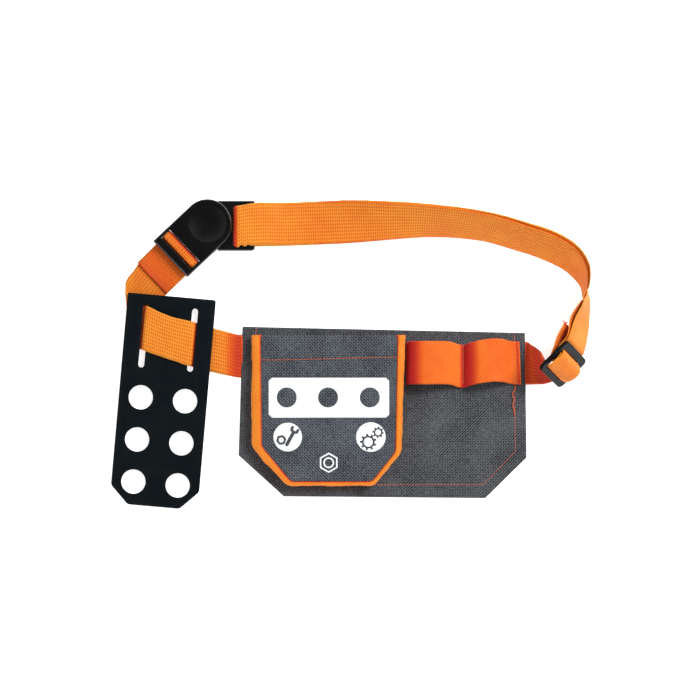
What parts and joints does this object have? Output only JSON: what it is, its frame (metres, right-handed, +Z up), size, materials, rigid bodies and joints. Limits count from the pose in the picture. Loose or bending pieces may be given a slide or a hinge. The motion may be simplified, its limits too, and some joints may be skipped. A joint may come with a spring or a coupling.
{
  "type": "toy tool belt",
  "caption": "Child's toy tool belt: grey canvas panel with an open pocket and webbing tool loops, an orange waist strap with buckle and slider, and a black hanging sheet with round tool holes.",
  "frame": {"origin": "middle of the panel's back face, where it lies on the table", "axes": "+X along the panel towards the slider, +Y from the panel towards the waist loop, +Z up from the table"},
  "size_m": [0.4241, 0.2722, 0.0425],
  "materials": {
    "canvas": "slate grey twill canvas",
    "webbing": "orange ribbed webbing",
    "loop_tape": "orange herringbone tape",
    "gusset_tape": "orange tape",
    "thread": "orange sewing thread",
    "black_plastic": "semi-gloss black moulding",
    "grey_plastic": "dark grey moulding",
    "black_sheet": "smooth black flexible sheet"
  },
  "bodies": {
    "belt": {"panel_back": "canvas", "panel_front": "canvas", "belt_behind_panel": "webbing", "pocket_gusset": "gusset_tape", "tool_loop_strip": "loop_tape", "tool_loop_bar_tacks": "thread", "panel_outline_seam": "thread", "belt_panel_to_holder": "webbing", "belt_turn_under_holder": "webbing", "belt_strand_to_buckle": "webbing", "inner_strand_near_buckle": "webbing", "outer_strand_near_buckle": "webbing", "inner_strand_back": "webbing", "inner_strand_corner": "webbing", "outer_strand_back": "webbing", "outer_strand_corner": "webbing", "outer_strand_to_slider": "webbing", "inner_strand_to_slider": "webbing", "belt_panel_to_slider": "webbing"},
    "pocket_front": {"pocket_front": "canvas", "pocket_hem_seam": "thread"},
    "holder_pass": {"belt_through_holder": "webbing"},
    "tool_holder": {"tool_holder_plate": "black_sheet"},
    "buckle_cap": {"buckle_cap": "black_plastic", "belt_end_on_cap": "webbing", "belt_end_seam": "thread"},
    "buckle_base": {"buckle_base": "black_plastic", "strap_turn_at_base": "webbing"},
    "slider": {"slider": "grey_plastic", "belt_over_slider_bar": "webbing", "inner_strand_end_loop": "webbing", "inner_strand_end_seam": "thread"}
  },
  "joints": [
    {"name": "pocket_open", "type": "hinge", "parent": "belt", "child": "pocket_front", "pos_m": [-0.0457, -0.0595, 0.0147], "axis": [1, 0, 0], "range_deg": [0, 14]},
    {"name": "holder_slide", "type": "slide", "parent": "belt", "child": "holder_pass", "axis": [0.947, -0.3212, 0], "range_m": [-0.006, 0.014], "deforming": ["belt_panel_to_holder", "belt_turn_under_holder"]},
    {"name": "holder_swing", "type": "hinge", "parent": "holder_pass", "child": "tool_holder", "pos_m": [-0.189, 0.0677, 0.006], "axis": [0, 0, 1], "range_deg": [-2, 2]},
    {"name": "buckle_release", "type": "slide", "parent": "belt", "child": "buckle_cap", "axis": [0, 0, 1], "range_m": [0, 0.012], "deforming": ["belt_strand_to_buckle"]},
    {"name": "buckle_swivel", "type": "hinge", "parent": "belt", "child": "buckle_base", "pos_m": [-0.1538, 0.1662, 0], "axis": [0, 0, 1], "range_deg": [-8, 8], "deforming": ["inner_strand_near_buckle", "outer_strand_near_buckle"]},
    {"name": "slider_travel", "type": "slide", "parent": "belt", "child": "slider", "axis": [-0.6997, -0.7145, 0], "range_m": [-0.012, 0.006], "deforming": ["outer_strand_to_slider", "inner_strand_to_slider", "belt_panel_to_slider"]}
  ]
}
